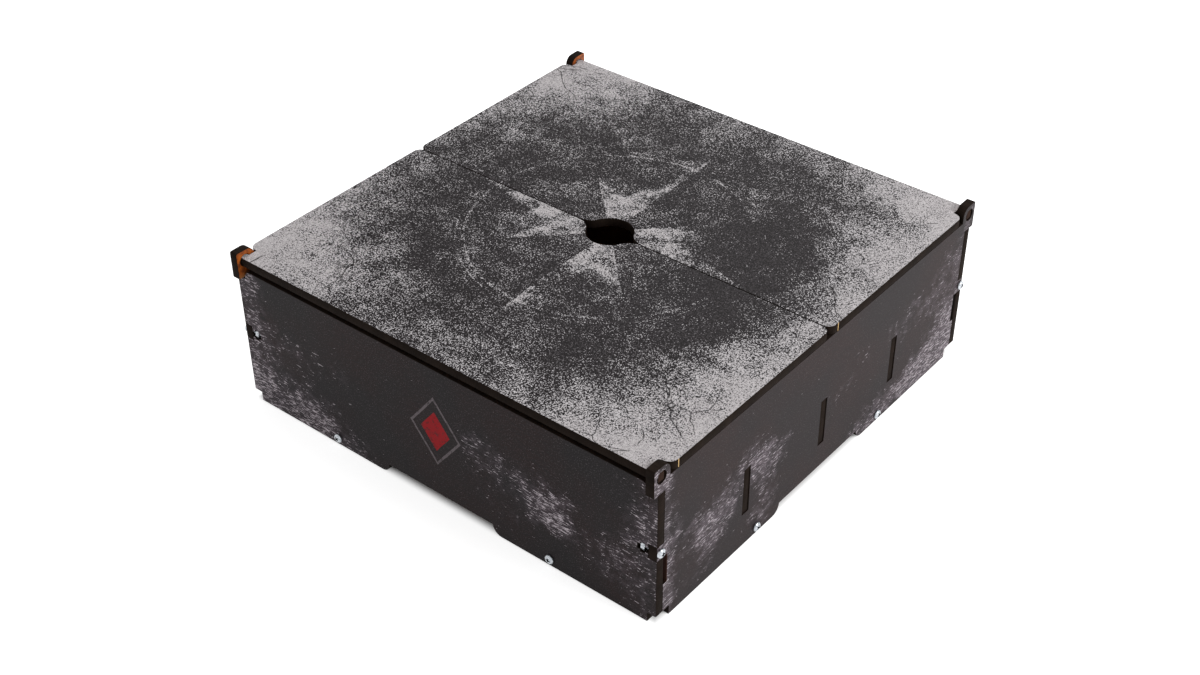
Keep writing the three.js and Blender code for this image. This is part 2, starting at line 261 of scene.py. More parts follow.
def inside(tree, place, ranges):
    """1 where every range holds, else 0. A range is an axis and two distances from zero."""
    axes = split(tree, place)
    mask = 1.0
    for axis, low, high in ranges:
        away = add(tree, "Math", (axes["XYZ".index(axis)],), operation="ABSOLUTE")
        near = add(tree, "Math", (away, (low + high) / 2, (high - low) / 2), operation="COMPARE")
        mask = add(tree, "Math", (mask, near), operation="MULTIPLY")
    return mask


def charred_edge(name, thickness_axis, brown_places=(), brown=RELIEF_BROWN):
    """Nearly black, and browner inside the ranges of brown_places."""
    material, tree, shader = new_material(name)
    place = in_mm(tree)
    soot = patches(tree, place, 9.0, 0.3, 0.7)
    inputs = {0: soot, 6: linear(SOOT_TINTS[0]), 7: linear(SOOT_TINTS[1])}
    color = add(tree, "Mix", inputs, 2, data_type="RGBA")
    if brown_places:
        mask = inside(tree, place, brown_places)
        color = add(tree, "Mix", {0: mask, 6: color, 7: linear(brown)}, 2, data_type="RGBA")
    squeeze = [1.0, 1.0, 1.0]
    squeeze["XYZ".index(thickness_axis)] = STRIATION_SQUEEZE
    squeezed = add(tree, "Mapping", {"Vector": place, "Scale": squeeze})
    lines = patches(tree, squeezed, STRIATION, 0.35, 0.7)
    share = add(tree, "Math", (lines, STRIATION_SHARE), operation="MULTIPLY")
    inputs = {0: share, 6: color, 7: linear(STRIATION_TINT)}
    color = add(tree, "Mix", inputs, 2, data_type="RGBA")
    tree.links.new(color, shader.inputs["Base Color"])
    shader.inputs["Roughness"].default_value = 0.75
    shader.inputs["Specular IOR Level"].default_value = 0.03
    bump = add(tree, "Bump", {"Height": lines, "Distance": EDGE_DEPTH * MM})
    tree.links.new(bump, shader.inputs["Normal"])
    return material


SIDE_EDGE = charred_edge("charred edge of side wall", "X", RELIEF)
END_EDGE = charred_edge("charred edge of front or back wall", "Y")
PLATE_EDGE = charred_edge("charred edge of bottom plate", "Z")
LID_EDGE = charred_edge("charred edge of lid", "Z", TAB_END, TAB_BROWN)
print("edges", SIDE_EDGE.name, END_EDGE.name, LID_EDGE.name)

# %% [markdown]
# ## Bridge marks
#
# A laser cutter leaves a small bridge uncut here and there, so that a board doesn't drop
# out of its sheet. Snapped off, a bridge leaves a pale mark of bare fibre across the edge.
# Each leaf has two of them. The back leaf is the front one turned half round, and so are
# its marks, so one rule in X and Y places all four.

# %% Lid edge with bridge marks
MARK_PLACES = (-134.0, 7.4)  # mm along Y, on the right edges; turned half round on the left
MARK_WIDTH = 0.55
BARE_FIBRE = "#d6b27c"
OUTER_EDGES = [("X", HALF - 9, HALF + 1)]  # mm, so that the seam's edges have no marks

def add_bridge_marks(material):
    tree = material.node_tree
    color_input = tree.nodes["Principled BSDF"].inputs["Base Color"]
    color = color_input.links[0].from_socket
    place = in_mm(tree)
    x, y = split(tree, place)[:2]
    side = add(tree, "Math", (x,), operation="SIGN")
    along = add(tree, "Math", (y, side), operation="MULTIPLY")
    outer = inside(tree, place, OUTER_EDGES)
    for mark in MARK_PLACES:
        mask = add(tree, "Math", (along, mark, MARK_WIDTH / 2), operation="COMPARE")
        mask = add(tree, "Math", (mask, outer), operation="MULTIPLY")
        inputs = {0: mask, 6: color, 7: linear(BARE_FIBRE)}
        color = add(tree, "Mix", inputs, 2, data_type="RGBA")
    tree.links.new(color, color_input)


add_bridge_marks(LID_EDGE)
print("bridge marks at", MARK_PLACES)

# %% [markdown]
# ## Raw board
#
# The inner faces are bare fibreboard, pressed smooth, a warm brown with short fibres. Smoke
# from the cut has stained the small ears of the side walls a strong amber. Their fingers, which
# are cut all round, and the ends of the front and back wall get painted shade: a near-black
# where the boards meet in the corner joints.

# %% Raw board
RAW_TINTS = ("#986a40", "#ae8254")
FIBRE_TINT = "#6d4829"
FIBRE_SHARE = 0.35
FIBRE_DEPTH = 0.03  # mm
AMBER_TINTS = ("#a9540e", "#6d2e06")
AMBER_BY_HEIGHT = (88.0, 93.0, 0.0, 0.95)  # mm from the table, and the shares there
# painted shade: near-black in the corner joints, on the side walls' fingers and the front and
# back walls' ends
JOINT_SHADE_BLACK = "#1d1712"
SHADED_FINGER = [("Y", HALF - BOARD - 1, HALF + 1), ("Z", 44.0, 55.0)]  # mm, of a side wall
SHADED_WALL_END = [("X", HALF - BOARD - 1, HALF + 1)]  # mm, of the front or back wall

def raw_board(name, painted_shade=(), amber_ears=False):
    material, tree, shader = new_material(name)
    place = in_mm(tree)
    clouds = patches(tree, place, 24.0, 0.3, 0.7)
    inputs = {0: clouds, 6: linear(RAW_TINTS[0]), 7: linear(RAW_TINTS[1])}
    color = add(tree, "Mix", inputs, 2, data_type="RGBA")
    bent = warped(tree, place, 4.0, 1.0)
    fibres = patches(tree, bent, 1.3, 0.42, 0.62, detail=6.0, roughness=0.7)
    share = add(tree, "Math", (fibres, FIBRE_SHARE), operation="MULTIPLY")
    color = add(tree, "Mix", {0: share, 6: color, 7: linear(FIBRE_TINT)}, 2, data_type="RGBA")
    if amber_ears:
        height = split(tree, place)[2]
        amber = add(tree, "MapRange", (height, *AMBER_BY_HEIGHT))
        stain = patches(tree, place, 3.0, 0.35, 0.65, detail=5.0)
        inputs = {0: stain, 6: linear(AMBER_TINTS[0]), 7: linear(AMBER_TINTS[1])}
        stain = add(tree, "Mix", inputs, 2, data_type="RGBA")
        color = add(tree, "Mix", {0: amber, 6: color, 7: stain}, 2, data_type="RGBA")
    # painted shade in the corner joints, where the boards meet
    if painted_shade:
        mask = inside(tree, place, painted_shade)
        color = add(tree, "Mix", {0: mask, 6: color, 7: linear(JOINT_SHADE_BLACK)}, 2, data_type="RGBA")
    tree.links.new(color, shader.inputs["Base Color"])
    shader.inputs["Roughness"].default_value = 0.55
    shader.inputs["Specular IOR Level"].default_value = 0.3
    bump = add(tree, "Bump", {"Height": fibres, "Distance": FIBRE_DEPTH * MM})
    tree.links.new(bump, shader.inputs["Normal"])
    return material


RAW = raw_board("raw fibreboard")
# the fingers and the wall ends get painted shade, as in the joints
RAW_SIDE = raw_board("raw fibreboard with smoke-stained ears", SHADED_FINGER, amber_ears=True)
RAW_END = raw_board("raw fibreboard with painted shade at the ends", SHADED_WALL_END)
print("raw faces", RAW.name, RAW_SIDE.name, RAW_END.name)

# %% [markdown]
# ## Soft bands
#
# Where a print is lighter or more worn is told by soft bands. A band is a line between two
# points, and it fades with the distance from that line. Both the lid and the walls have a
# short list of them, in millimetres.

# %% Sum of bands
BAND_END = 1.4  # a band has faded out at this many times its reach

def banded(tree, spot, bands):
    """The sum of the bands at a spot on the XY plane."""
    total = 0.0
    for start_run, start_up, end_run, end_up, reach, strength in bands:
        start, end = Vector((start_run, start_up, 0)), Vector((end_run, end_up, 0))
        length = (end - start).length
        from_start = add(tree, "VectorMath", (spot, start), operation="SUBTRACT")
        inputs = (from_start, (end - start) / length ** 2)
        share = add(tree, "VectorMath", inputs, "Value", operation="DOT_PRODUCT")
        share = add(tree, "Math", (share, 0.0), operation="ADD", use_clamp=True)
        walked = add(tree, "VectorMath", {0: end - start, "Scale": share}, operation="SCALE")
        away = add(tree, "VectorMath", (from_start, walked), "Value", operation="DISTANCE")
        inputs = (away, reach * BAND_END, 0.0, 0.0, 1.0)
        near = add(tree, "MapRange", inputs, interpolation_type="SMOOTHSTEP")
        total = add(tree, "Math", (near, strength, total), operation="MULTIPLY_ADD")
    return total


print("bands end at", BAND_END, "times their reach")

# %% [markdown]
# ## The lid's print
#
# One print runs over both leaves: worn grey stone, light along the rim and dark in broad
# clouds. It has few plain greys. Fine dark and pale grains stand closer or further apart,
# so the print is a threshold: a slow tone plus a fast grain, cut off in a narrow range. The
# tone is built first, from the distance to the rim, from clouds of two sizes and from bands.

# %% Tone of the lid
LID_BANDS = [  # from x, from y, to x, to y, reach, strength
    (150, 70, 150, -60, 42, 0.24), (-60, 150, 60, 150, 36, -0.18),
    (-80, -150, 60, -150, 36, -0.14), (-150, 60, -150, -40, 34, -0.14),
    (62, 60, 96, -20, 30, -0.22),
]
CORNER_TONE = (112.0, 205.0, -0.22, 0.62)  # mm from the centre, and the tones there
MIDDLE_TONE = (78.0, 20.0, 0.0, 0.24)
RIM_TONE = (95.0, 150.0, 0.0, 0.06)  # the same, by the larger of X and Y
CLOUDS = (66.0, 0.17)  # mm across, and what they add to the tone
BLOTCHES = (20.0, 0.42)

def lid_tone(tree, place):
    """The tone at a place, and how far the place is from the centre."""
    x, y = split(tree, place)[:2]
    flat = add(tree, "CombineXYZ", (x, y, 0.0))
    away = add(tree, "VectorMath", (flat,), "Value", operation="LENGTH")
    across = add(tree, "Math", (x,), operation="ABSOLUTE")
    along = add(tree, "Math", (y,), operation="ABSOLUTE")
    side = add(tree, "Math", (across, along), operation="MAXIMUM")
    corner = add(tree, "MapRange", (away, *CORNER_TONE))
    rim = add(tree, "MapRange", (side, *RIM_TONE), interpolation_type="SMOOTHSTEP")
    middle = add(tree, "MapRange", (away, *MIDDLE_TONE), interpolation_type="SMOOTHSTEP")
    clouds = patches(tree, place, CLOUDS[0], 0.3, 0.7, detail=3.0)
    bent = warped(tree, place, 20.0, 6.0)
    blotches = patches(tree, bent, BLOTCHES[0], 0.3, 0.7, detail=7.0, roughness=0.65)
    tone = add(tree, "Math", (corner, rim), operation="ADD")
    tone = add(tree, "Math", (tone, middle), operation="ADD")
    bands = banded(tree, warped(tree, flat, 30.0, 12.0), LID_BANDS)
    tone = add(tree, "Math", (tone, bands), operation="ADD")
    tone = add(tree, "Math", (clouds, CLOUDS[1], tone), operation="MULTIPLY_ADD")
    return add(tree, "Math", (blotches, BLOTCHES[1], tone), operation="MULTIPLY_ADD"), away


print("tone of the lid ready")

# %% [markdown]
# In the middle is a worn compass star, a figure as old as maps, with four short points
# between four long ones. Folding the plane over its axes and diagonals lays the halves of
# all four points on one, so a single slanting line is the edge of them all. The sign of X
# times Y times their order tells the light half of a point from its dark half.

# %% Compass star
LONG_POINTS = (100, 18)  # mm to a tip, and along both axes to the notch between two
SHORT_POINTS = (62, 20)
POINT_EDGE = (6.0, 4.0)  # mm, how far a point fades inwards and outwards
HALF_TONES = (-0.14, 0.42)  # what a dark and a light half add to the tone
RINGS = [(84.0, 0.9), (88.5, 0.45)]  # mm, radius and half width
RING_TONE = 0.3

def star(tree, x, y, reach, waist):
    """Four points along X and Y. Gives 1 inside a point, and 1 on its light half."""
    across = add(tree, "Math", (x,), operation="ABSOLUTE")
    along = add(tree, "Math", (y,), operation="ABSOLUTE")
    longer = add(tree, "Math", (across, along), operation="MAXIMUM")
    shorter = add(tree, "Math", (across, along), operation="MINIMUM")
    rim = add(tree, "Math", (shorter, (reach - waist) / waist, longer), operation="MULTIPLY_ADD")
    inputs = (rim, reach - POINT_EDGE[0], reach + POINT_EDGE[1], 1.0, 0.0)
    point = add(tree, "MapRange", inputs)
    turned = add(tree, "Math", (x, y), operation="MULTIPLY")
    order = add(tree, "Math", (across, along), operation="SUBTRACT")
    turned = add(tree, "Math", (turned, order), operation="MULTIPLY")
    light = add(tree, "Math", (turned, 0.0), operation="GREATER_THAN")
    return point, light


def compass_star(tree, place, away, tone):
    """The tone with a faded star and a double ring in it."""
    bent = warped(tree, warped(tree, place, 45.0, 3.0), 5.0, 0.8)
    x, y = split(tree, bent)[:2]
    plus = add(tree, "Math", (x, y), operation="ADD")
    minus = add(tree, "Math", (x, y), operation="SUBTRACT")
    slant_x = add(tree, "Math", (plus, math.sqrt(0.5)), operation="MULTIPLY")
    slant_y = add(tree, "Math", (minus, math.sqrt(0.5)), operation="MULTIPLY")
    worn = patches(tree, place, 10.0, 0.34, 0.6, detail=7.0, roughness=0.72)
    figure = 0.0
    slanting = star(tree, slant_x, slant_y, *SHORT_POINTS)
    for point, light in (slanting, star(tree, x, y, *LONG_POINTS)):
        shade = add(tree, "MapRange", (light, 0.0, 1.0, *HALF_TONES))
        figure = add(tree, "Mix", {0: point, 2: figure, 3: shade})
    for radius, half_width in RINGS:
        ring = add(tree, "Math", (away, radius, half_width), operation="COMPARE")
        figure = add(tree, "Math", (ring, RING_TONE, figure), operation="MULTIPLY_ADD")
    return add(tree, "Math", (figure, worn, tone), operation="MULTIPLY_ADD")


print("compass star ready")

# %% [markdown]
# Old stone is cracked. The borders between the cells of a Voronoi pattern branch and meet
# as cracks do. Bent by a noise, thinned out by another and kept to the outer part of the
# lid, they look like a few cracks that start at the rim.

# %% Cracks
CRACKS = ((78.0, 0.5, 0.54), (26.0, 0.38, 0.55))  # mm between, mm wide, how few of them
CRACK_TINT = "#171314"
CRACK_CORE = 0.25  # the share of its width that is fully dark
CRACKS_FROM = (95.0, 125.0)  # mm from the centre, where they set in

def cracks(tree, place, away, cell, width, shown_from):
    bent = warped(tree, warped(tree, place, 30.0, 9.0), 4.0, 0.9)
    inputs = {"Vector": bent, "Scale": 1 / cell}
    settings = {"feature": "DISTANCE_TO_EDGE", "voronoi_dimensions": "2D"}
    border = add(tree, "TexVoronoi", inputs, "Distance", **settings)
    reach = width / cell
    line = add(tree, "MapRange", (border, CRACK_CORE * reach, reach, 1.0, 0.0))
    some = patches(tree, place, 38.0, shown_from, shown_from + 0.05, detail=2.0)
    outer = add(tree, "MapRange", (away, *CRACKS_FROM, 0.0, 1.0))
    line = add(tree, "Math", (line, some), operation="MULTIPLY")
    return add(tree, "Math", (line, outer), operation="MULTIPLY")


print("cracks ready")

# %% [markdown]
# The whole print is the tone, cut off by the grains, with the cracks over it. Fine dark
# curls run through the pale ground: they lie where a noise passes through its middle value.
# The dark ground isn't plain either: its brighter grains are a fine grey dust. The ink is
# satin: it reflects only a little, which keeps the blacks deep.

# %% Print on the lid
GRAIN = 0.72  # mm across; the real ones are finer, but would be too fine to show
LID_DARK = "#151112"
LID_DUST = "#3d393b"  # fine grains in the dark ground
LID_GRAIN = "#cac6c8"  # pale grains, where they stand apart
LID_PLAIN = "#bdb8b9"  # pale ground, where they close up
GRAIN_WEIGHT = 3.0  # how much a grain counts beside the tone
CUT = (1.93, 2.11)  # the two together: dark below, pale above
CLOSING = (0.35, 0.8)  # the tones over which the pale grains close up
DUSTY = (0.48, 0.6)  # the grains that are dust in the dark ground
CURL = 1.1  # mm, size of the fine dark curls in the pale ground
CURL_WIDTH = 0.03  # how far from its middle value the noise still draws a curl
CURL_SHARE = 0.62
PRINT_ROUGHNESS = 0.5
PRINT_SPECULAR = 0.06

def lid_print():
    material, tree, shader = new_material("worn stone print on lid")
    place = in_mm(tree)
    tone, away = lid_tone(tree, place)
    tone = compass_star(tree, place, away, tone)
    inputs = {"Vector": place, "Scale": 1 / GRAIN, "Detail": 1.5, "Roughness": 0.6}
    grains = add(tree, "TexNoise", inputs)
    cut = add(tree, "Math", (grains, GRAIN_WEIGHT, tone), operation="MULTIPLY_ADD")
    shown = add(tree, "MapRange", (cut, *CUT, 0.0, 1.0), interpolation_type="SMOOTHSTEP")
    closed = add(tree, "MapRange", (tone, *CLOSING, 0.0, 1.0))
    inputs = {0: closed, 6: linear(LID_GRAIN), 7: linear(LID_PLAIN)}
    pale = add(tree, "Mix", inputs, 2, data_type="RGBA")
    inputs = {"Vector": place, "Scale": 1 / CURL, "Detail": 2.0, "Roughness": 0.6}
    curls = add(tree, "TexNoise", inputs)
    curls = add(tree, "Math", (curls, 0.5, CURL_WIDTH), operation="COMPARE")
    curls = add(tree, "Math", (curls, CURL_SHARE), operation="MULTIPLY")
    pale = add(tree, "Mix", {0: curls, 6: pale, 7: linear(LID_DARK)}, 2, data_type="RGBA")
    dust = add(tree, "MapRange", (grains, *DUSTY, 0.0, 1.0), interpolation_type="SMOOTHSTEP")
    inputs = {0: dust, 6: linear(LID_DARK), 7: linear(LID_DUST)}
    dark = add(tree, "Mix", inputs, 2, data_type="RGBA")
    color = add(tree, "Mix", {0: shown, 6: dark, 7: pale}, 2, data_type="RGBA")
    for cell, width, shown_from in CRACKS:
        line = cracks(tree, place, away, cell, width, shown_from)
        inputs = {0: line, 6: color, 7: linear(CRACK_TINT)}
        color = add(tree, "Mix", inputs, 2, data_type="RGBA")
    tree.links.new(color, shader.inputs["Base Color"])
    shader.inputs["Roughness"].default_value = PRINT_ROUGHNESS
    shader.inputs["Specular IOR Level"].default_value = PRINT_SPECULAR
    return material


LID_PRINT = lid_print()
print("lid print", LID_PRINT.name)

# %% [markdown]
# ## The walls' print
#
# The walls are printed nearly black, with a slow drift between a reddish black and a plain
# one, and worn pale in scratched bands, mostly towards the ends and the foot. The bands are
# given in millimetres along the wall and up from the table.

# %% Worn bands of the four walls
FRONT_BANDS = [  # start along, start up, end along, end up, reach, strength
    (-150, 5, -112, 10, 38, 0.38), (-150, 95, -150, 0, 25, 0.25), (-142, 56, -75, 56, 18, 0.21),
    (-90, 6, -62, 2, 25, 0.3), (30, 55, 80, 40, 21, 0.32), (80, 40, 118, 30, 21, 0.25),
    (36, 24, 60, 16, 15, 0.18), (150, 88, 150, 0, 32, 0.29), (150, 66, 138, 58, 20, 0.15),
    (-150, 94, -142, 84, 12, 0.24),
]
RIGHT_BANDS = [
    (-36, 56, -62, 50, 12, 0.26), (-72, 58, -108, 38, 22, 0.33), (-118, 44, -142, 52, 20, 0.16),
    (-150, 92, -148, 0, 18, 0.34), (-50, 36, -58, 14, 19, 0.34), (13, 49, 40, 58, 15, 0.18),
    (40, 5, 112, 10, 16, 0.44), (122, 8, 148, 14, 32, 0.58), (78, 58, 110, 58, 18, 0.28),
    (140, 74, 150, 24, 30, 0.35), (-112, 10, -92, 30, 18, 0.22), (-150, 24, -146, 0, 20, 0.24),
    (-148, 102, -148, 94, 7, 0.3), (148, 102, 148, 94, 7, 0.3),
]
BACK_BANDS = [
    (-150, 8, -98, 14, 38, 0.44), (-150, 95, -150, 0, 28, 0.39), (-60, 48, -12, 30, 22, 0.37),
    (20, 8, 75, 4, 22, 0.35), (60, 60, 112, 44, 18, 0.3), (150, 90, 150, 0, 32, 0.44),
]
LEFT_BANDS = [
    (-150, 90, -148, 0, 30, 0.4), (-128, 12, -86, 6, 30, 0.4), (-52, 62, -8, 46, 19, 0.35),
    (22, 26, 66, 12, 22, 0.35), (84, 58, 128, 52, 20, 0.3), (148, 92, 150, 0, 28, 0.42),
    (-148, 102, -148, 94, 7, 0.3), (148, 102, 148, 94, 7, 0.3),
]
print("worn bands", len(FRONT_BANDS), len(RIGHT_BANDS), len(BACK_BANDS), len(LEFT_BANDS))

# %% [markdown]
# The worn places are made of thin scratches a few millimetres long. A noise squeezed along
# one direction gives such strokes. Three layers of them lie at different angles, each with
# strokes of its own width. A pale scratch shows where its noise plus the wear is high
# enough, and a dark one where its noise is low. Between them the ink is rubbed thin, as a
# soft haze that follows the wear, and where it isn't worn it holds a fine pale dust.

# %% Print on a wall
SCRATCHES = ((0.74, 0.1), (0.6, 0.12), (0.8, 0.22))  # mm wide, and width over length
HAZE = "#6c6269"  # the ink rubbed thin, between the scratches
MOST_WORN = 0.54  # beyond this the scratches would close up
WALL_GRAIN = 0.75  # mm, size of the fine dust in the dark ink
# The next four are ramps: from one value to another, and the shares there
DUST_BY_GRAIN = (0.56, 0.66, 0.0, 0.12)
HAZE_BY_WEAR = (0.16, 0.56, 0.0, 0.56)
DARK_BY_STROKE = (0.42, 0.37, 0.0, 0.75)
PALE_BY_STROKE = (0.775, 0.8, 0.0, 1.0)
SPREAD = 0.28  # how much the wear varies inside a band
WEAR_WEIGHT = 0.34  # how much the wear lifts the strokes

def wall_print(name, run_axis, bands, shift, angles, inks):
    """The angles are those of the scratches, and the inks two dark tints and a pale one."""
    material, tree, shader = new_material(name)
    place = in_mm(tree)
    axes = split(tree, place)
    spot = add(tree, "CombineXYZ", (axes["XYZ".index(run_axis)], axes[2], 0.0))
    apart = add(tree, "VectorMath", (spot, shift), operation="ADD")
    tint = patches(tree, apart, 55.0, 0.35, 0.65, detail=2.0)
    inputs = {0: tint, 6: linear(inks[0]), 7: linear(inks[1])}
    color = add(tree, "Mix", inputs, 2, data_type="RGBA")
    inputs = {"Vector": apart, "Scale": 1 / WALL_GRAIN, "Detail": 3.0, "Roughness": 0.65}
    grains = add(tree, "TexNoise", inputs)
    dust = add(tree, "MapRange", (grains, *DUST_BY_GRAIN), interpolation_type="SMOOTHSTEP")
    color = add(tree, "Mix", {0: dust, 6: color, 7: linear(inks[2])}, 2, data_type="RGBA")
    worn = banded(tree, warped(tree, spot, 18.0, 10.0), bands)
    spread = patches(tree, apart, 8.0, 0.3, 0.7, detail=6.0, roughness=0.7)
    spread = add(tree, "Math", (spread, 0.5), operation="SUBTRACT")
    worn = add(tree, "Math", (spread, SPREAD, worn), operation="MULTIPLY_ADD")
    worn = add(tree, "Math", (worn, MOST_WORN), operation="MINIMUM")
    haze = add(tree, "MapRange", (worn, *HAZE_BY_WEAR), interpolation_type="SMOOTHSTEP")
    color = add(tree, "Mix", {0: haze, 6: color, 7: linear(HAZE)}, 2, data_type="RGBA")
    bent = warped(tree, warped(tree, apart, 9.0, 0.9), 2.0, 0.15)
    for angle, (width, share) in zip(angles, SCRATCHES):
        turned = (0, 0, math.radians(-angle))
        inputs = {"Vector": bent, "Rotation": turned, "Scale": (share, 1, 1)}
        squeezed = add(tree, "Mapping", inputs)
        inputs = {"Vector": squeezed, "Scale": 1 / width, "Detail": 3.0}
        strokes = add(tree, "TexNoise", inputs)
        deep = add(tree, "MapRange", (strokes, *DARK_BY_STROKE), interpolation_type="SMOOTHSTEP")
        color = add(tree, "Mix", {0: deep, 6: color, 7: linear(inks[1])}, 2, data_type="RGBA")
        cut = add(tree, "Math", (worn, WEAR_WEIGHT, strokes), operation="MULTIPLY_ADD")
        shown = add(tree, "MapRange", (cut, *PALE_BY_STROKE), interpolation_type="SMOOTHSTEP")
        color = add(tree, "Mix", {0: shown, 6: color, 7: linear(inks[2])}, 2, data_type="RGBA")
    tree.links.new(color, shader.inputs["Base Color"])
    shader.inputs["Roughness"].default_value = PRINT_ROUGHNESS
    shader.inputs["Specular IOR Level"].default_value = PRINT_SPECULAR
    return material


FRONT_INKS = ("#281e1e", "#232021", "#d0c6cc")  # also for the back wall
SIDE_INKS = ("#2c2222", "#262122", "#a8a0a5")
FRONT_PRINT = wall_print("worn dark print on front wall", "X", FRONT_BANDS, (0, 0, 0),
                         (-28, -62, 20), FRONT_INKS)
RIGHT_PRINT = wall_print("worn dark print on right wall", "Y", RIGHT_BANDS, (400, 90, 0),
                         (30, 64, -12), SIDE_INKS)
BACK_PRINT = wall_print("worn dark print on back wall", "X", BACK_BANDS, (-310, 240, 0),
                        (28, 60, -20), FRONT_INKS)
LEFT_PRINT = wall_print("worn dark print on left wall", "Y", LEFT_BANDS, (90, -500, 0),
                        (-30, -66, 14), SIDE_INKS)
print("wall prints", FRONT_PRINT.name, RIGHT_PRINT.name, BACK_PRINT.name, LEFT_PRINT.name)

# %% [markdown]
# The front wall carries a small device in its middle: a red lozenge, as on a playing card,
# in a thin grey outline. A lozenge is a place where the two distances from its centre, each
# over its half diagonal, add up to less than one. Its ink is as worn as the rest.

# %% Lozenge on the front wall
LOZENGE_UP = 51.0  # mm from the table to its centre
LOZENGES = [  # half diagonals in mm, inner edge over outer edge (-1 if filled), tint
    ((10.5, 13.5), -1.0, "#9a1c22"),
    ((18.5, 23.5), 0.9, "#6b6366"),
]
INK_LEFT = 0.35  # where it is most worn

def add_lozenge(material):
    tree = material.node_tree
    color_input = tree.nodes["Principled BSDF"].inputs["Base Color"]
    color = color_input.links[0].from_socket
    place = warped(tree, in_mm(tree), 4.0, 0.25)
    x, z = split(tree, place)[::2]
    across = add(tree, "Math", (x,), operation="ABSOLUTE")
    up = add(tree, "Math", (z, LOZENGE_UP), operation="SUBTRACT")
    up = add(tree, "Math", (up,), operation="ABSOLUTE")
    worn = patches(tree, place, 2.2, 0.38, 0.5, detail=5.0, roughness=0.7)
    ink = add(tree, "MapRange", (worn, 0.0, 1.0, INK_LEFT, 1.0))
    for half, hollow, tint in LOZENGES:
        share = add(tree, "Math", (across, 1 / half[0]), operation="MULTIPLY")
        share = add(tree, "Math", (up, 1 / half[1], share), operation="MULTIPLY_ADD")
        mask = add(tree, "Math", (share, 1.0), operation="LESS_THAN")
        beyond = add(tree, "Math", (share, hollow), operation="GREATER_THAN")
        mask = add(tree, "Math", (mask, beyond), operation="MULTIPLY")
        mask = add(tree, "Math", (mask, ink), operation="MULTIPLY")
        color = add(tree, "Mix", {0: mask, 6: color, 7: linear(tint)}, 2, data_type="RGBA")
    tree.links.new(color, color_input)


add_lozenge(FRONT_PRINT)
print("lozenge centre at", LOZENGE_UP, "mm")

# %% [markdown]
# ## Boards
#
# A packed board is a bare sharp-edged solid of loose triangles. Each one is copied, its
# triangles are merged, and its arrises are eased a little, as a laser leaves them. The
# eased arris is charred, like the edge beside it. A face's direction says which of the
# three finishes it gets.

# %% Dress the boards
EASED = 0.16  # mm, radius of an arris
FACE_LIMIT = 0.9  # a face that points within about 25 degrees of the outward direction
WELD = 0.002 * MM  # corners nearer than this are one
FLAT = math.radians(1)  # faces that meet at less than this become one
ARRIS = math.radians(40)  # an edge that bends more than this gets eased
ROUND = math.radians(30)  # an edge that bends less than this is shaded as a curve

def finish_piece(piece, node, body):
    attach(piece, body)
    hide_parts(node)


def dress_board(node, body, outward, faces):
    """Copies a board and gives it its outer, inner and edge finish."""
    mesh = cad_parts[node].data.copy()
    mesh.name = node + "_board"
    piece = bpy.data.objects.new(node + "_board", mesh)
    bpy.context.scene.collection.objects.link(piece)
    bpy.ops.object.select_all(action="DESELECT")
    piece.select_set(True)
    bpy.context.view_layer.objects.active = piece
    bpy.ops.object.mode_set(mode="EDIT")
    bpy.ops.mesh.select_all(action="SELECT")
    bpy.ops.mesh.remove_doubles(threshold=WELD)
    bpy.ops.mesh.dissolve_limited(angle_limit=FLAT)
    bpy.ops.object.mode_set(mode="OBJECT")
    mesh.materials.clear()
    for finish in faces:
        mesh.materials.append(finish)
    for polygon in mesh.polygons:
        side = polygon.normal.dot(outward)
        polygon.material_index = 0 if side > FACE_LIMIT else 1 if side < -FACE_LIMIT else 2
    bevel = piece.modifiers.new("eased arrises", "BEVEL")
    bevel.width = EASED * MM
    bevel.segments = 2
    bevel.limit_method = "ANGLE"
    bevel.angle_limit = ARRIS
    bevel.use_clamp_overlap = False
    bevel.material = 2
    bpy.ops.object.modifier_apply(modifier=bevel.name)
    bpy.ops.object.shade_smooth_by_angle(angle=ROUND)
    for polygon in mesh.polygons:
        polygon.use_smooth = polygon.material_index == 2
    finish_piece(piece, node, body)
    return piece


BOARDS = [
    ("front_wall", "case", "printed_wall", (0, -1, 0), (FRONT_PRINT, RAW_END, END_EDGE)),
    ("back_wall", "case", "printed_wall", (0, 1, 0), (BACK_PRINT, RAW_END, END_EDGE)),
    ("right_wall", "case", "printed_wall", (1, 0, 0), (RIGHT_PRINT, RAW_SIDE, SIDE_EDGE)),
    ("left_wall", "case", "printed_wall", (-1, 0, 0), (LEFT_PRINT, RAW_SIDE, SIDE_EDGE)),
    ("front_lid", "front_leaf", "printed_lid", (0, 0, 1), (LID_PRINT, RAW, LID_EDGE)),
    ("back_lid", "back_leaf", "printed_lid", (0, 0, 1), (LID_PRINT, RAW, LID_EDGE)),
    ("bottom_plate", "case", "raw_board", (0, 0, 1), (RAW, RAW, PLATE_EDGE)),
    ("front_divider", "case", "raw_board", (0, 1, 0), (RAW, RAW, END_EDGE)),
    ("middle_divider", "case", "raw_board", (0, 1, 0), (RAW, RAW, END_EDGE)),
    ("back_divider", "case", "raw_board", (0, 1, 0), (RAW, RAW, END_EDGE)),
]
for node, body, slot_name, outward, faces in BOARDS:
    board = dress_board(node, body, Vector(outward), faces)
    print(board.name, len(board.data.polygons), "faces")

# %% [markdown]
# ## Zinc plate
#
# The screws and nuts are steel with a bright zinc plate. It gives a slightly blue, softly
# shiny metal, a little hazy where the plate is uneven. In the cross recess the zinc is painted
# a dark grey, as painted shade in the recess.

